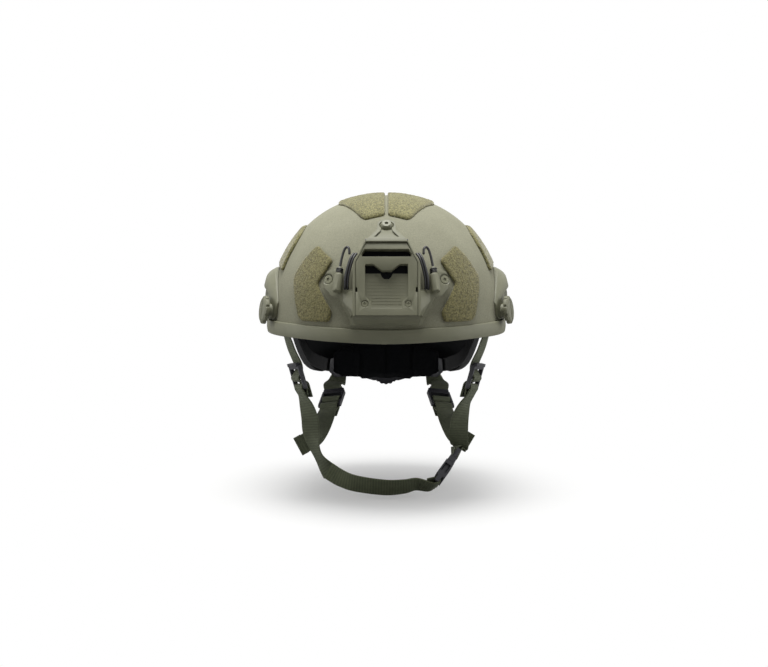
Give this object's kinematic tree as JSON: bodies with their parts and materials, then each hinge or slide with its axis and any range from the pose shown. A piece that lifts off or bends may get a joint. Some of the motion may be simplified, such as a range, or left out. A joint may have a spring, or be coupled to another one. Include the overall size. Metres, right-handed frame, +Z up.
{
  "type": "combat helmet",
  "caption": "High-cut helmet shell with front shroud, side rails, loop patches, foam pads, dial-fit nape cradle and a buckled chin harness.",
  "frame": {"origin": "centre of the head opening, level with the lower edge of the front brim", "axes": "+Z up through the crown, -Y out of the face, +X to the wearer's left"},
  "size_m": [0.2476, 0.293, 0.2983],
  "materials": {
    "shell_paint": "gritty matt olive-grey coating on a fibre laminate",
    "trim_rubber": "matt olive rubber",
    "loop_pile": "mottled olive loop pile",
    "moulded_olive": "fine-textured olive nylon",
    "dark_steel": "black-oxide steel",
    "coated_wire": "black coated spring wire",
    "elastic_cord": "black elastic cord",
    "pad_cloth": "black knitted cloth over foam",
    "webbing": "dark olive ribbed webbing",
    "band_strip": "flexible black strip",
    "black_plastic": "fine-textured dark grey nylon"
  },
  "bodies": {
    "helmet": {"shell": "shell_paint", "edge_trim": "trim_rubber", "front_patch_left": "loop_pile", "front_patch_right": "loop_pile", "top_patch_front_left": "loop_pile", "top_patch_front_right": "loop_pile", "top_patch_rear_left": "loop_pile", "top_patch_rear_right": "loop_pile", "side_patch_left": "loop_pile", "side_patch_right": "loop_pile", "rear_patch": "loop_pile", "rear_side_patch_left": "loop_pile", "rear_side_patch_right": "loop_pile", "shroud_frame": "moulded_olive", "shroud_insert": "moulded_olive", "shroud_screws": "dark_steel", "insert_screws": "dark_steel", "lip_pin": "dark_steel", "bungee_left": "elastic_cord", "bungee_right": "elastic_cord", "rail_left": "moulded_olive", "rail_right": "moulded_olive", "rail_screws": "dark_steel", "inner_nuts": "dark_steel", "pad_crown": "pad_cloth", "pad_front": "pad_cloth", "pad_rear": "pad_cloth", "pad_side_left": "pad_cloth", "pad_side_right": "pad_cloth", "pad_rear_left": "pad_cloth", "pad_rear_right": "pad_cloth", "front_web_left": "webbing", "front_web_right": "webbing", "cheek_strap_left": "webbing", "cheek_strap_right": "webbing", "rear_strap_left": "webbing", "rear_strap_right": "webbing", "buckle_plug": "black_plastic"},
    "cradle": {"nape_carrier": "black_plastic", "nape_pad": "pad_cloth", "band_left": "band_strip", "band_right": "band_strip", "rear_web_left": "webbing", "rear_web_right": "webbing"},
    "dial": {"dial_knob": "black_plastic", "dial_spool": "dark_steel"},
    "front_adjuster_left": {"front_lock_left": "black_plastic"},
    "front_adjuster_right": {"front_lock_right": "black_plastic"},
    "rear_adjuster_left": {"rear_lock_left": "black_plastic"},
    "rear_adjuster_right": {"rear_lock_right": "black_plastic"},
    "chin": {"buckle_socket": "black_plastic", "chin_band": "webbing"},
    "thumb_knob_left": {"knob_left": "moulded_olive"},
    "thumb_knob_right": {"knob_right": "moulded_olive"},
    "hook_left": {"hook_grip_left": "moulded_olive", "hook_wire_left": "coated_wire"},
    "hook_right": {"hook_grip_right": "moulded_olive", "hook_wire_right": "coated_wire"}
  },
  "joints": [
    {"name": "dial_turn", "type": "hinge", "parent": "cradle", "child": "dial", "pos_m": [0, 0.12125, -0.0515], "axis": [0, 1, 0], "range_deg": [0, 540]},
    {"name": "cradle_fit", "type": "slide", "parent": "helmet", "child": "cradle", "axis": [0, -1, 0], "range_m": [0, 0.01], "deforming": ["band_left", "band_right", "rear_web_left", "rear_web_right"]},
    {"name": "front_lock_tilt_left", "type": "hinge", "parent": "helmet", "child": "front_adjuster_left", "pos_m": [0.0845, -0.04, -0.0505], "axis": [0.4411, 0.8891, -0.1221], "range_deg": [0, 30], "deforming": ["front_web_left"]},
    {"name": "rear_lock_tilt_left", "type": "hinge", "parent": "helmet", "child": "rear_adjuster_left", "pos_m": [0.06, 0.048, -0.081], "axis": [0.9501, 0.2865, -0.1233], "range_deg": [0, 30], "deforming": ["rear_web_left"]},
    {"name": "knob_turn_left", "type": "hinge", "parent": "helmet", "child": "thumb_knob_left", "pos_m": [0.11501, -0.06476, 0.02689], "axis": [0.9396, -0.3207, 0.12], "continuous": true},
    {"name": "hook_swing_left", "type": "hinge", "parent": "helmet", "child": "hook_left", "pos_m": [0.04502, -0.13417, 0.0489], "axis": [-0.3463, 0.8658, -0.3612], "range_deg": [0, 50]},
    {"name": "front_lock_tilt_right", "type": "hinge", "parent": "helmet", "child": "front_adjuster_right", "pos_m": [-0.0845, -0.04, -0.0505], "axis": [0.4411, -0.8891, 0.1221], "range_deg": [0, 30], "deforming": ["front_web_right"]},
    {"name": "rear_lock_tilt_right", "type": "hinge", "parent": "helmet", "child": "rear_adjuster_right", "pos_m": [-0.06, 0.048, -0.081], "axis": [0.9501, -0.2865, 0.1233], "range_deg": [0, 30], "deforming": ["rear_web_right"]},
    {"name": "knob_turn_right", "type": "hinge", "parent": "helmet", "child": "thumb_knob_right", "pos_m": [-0.11501, -0.06476, 0.02689], "axis": [0.9396, 0.3207, -0.12], "continuous": true},
    {"name": "hook_swing_right", "type": "hinge", "parent": "helmet", "child": "hook_right", "pos_m": [-0.04502, -0.13417, 0.0489], "axis": [-0.3463, -0.8658, 0.3612], "range_deg": [0, 50]},
    {"name": "buckle_release", "type": "slide", "parent": "helmet", "child": "chin", "axis": [-0.5697, -0.4547, -0.6846], "range_m": [0, 0.02], "deforming": ["chin_band"]}
  ],
  "couplings": [
    {"joint": "dial_turn", "follows": "cradle_fit", "rad_per_m": 942.48}
  ]
}
